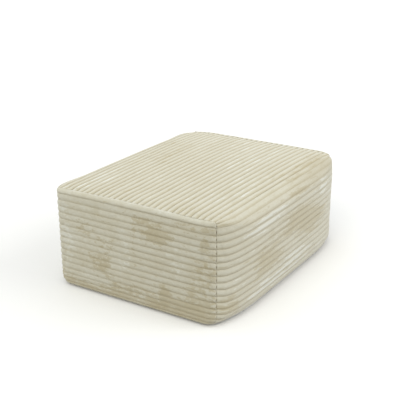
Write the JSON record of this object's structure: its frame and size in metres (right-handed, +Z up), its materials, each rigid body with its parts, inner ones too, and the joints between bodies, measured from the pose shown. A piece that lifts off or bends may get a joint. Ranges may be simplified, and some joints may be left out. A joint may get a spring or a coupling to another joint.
{
  "type": "ottoman",
  "caption": "Low rectangular ottoman in wide-ribbed plush: a filled box with a crowned top, rolled long edges, sewn end panels and tucked lower edges.",
  "frame": {"origin": "middle of the flat underside, on the floor", "axes": "+X along the ribs of the long cover panel, +Y across them, +Z up"},
  "size_m": [0.9697, 0.797, 0.4],
  "materials": {
    "ribbed_plush": "pale ivory-beige wide-wale plush with a brushed nap",
    "base_cloth": "plain dark woven underside cloth"
  },
  "bodies": {
    "root": {"wrap": "ribbed_plush", "end_panel_near": "ribbed_plush", "end_panel_far": "ribbed_plush", "base_cloth": "base_cloth"}
  },
  "joints": []
}
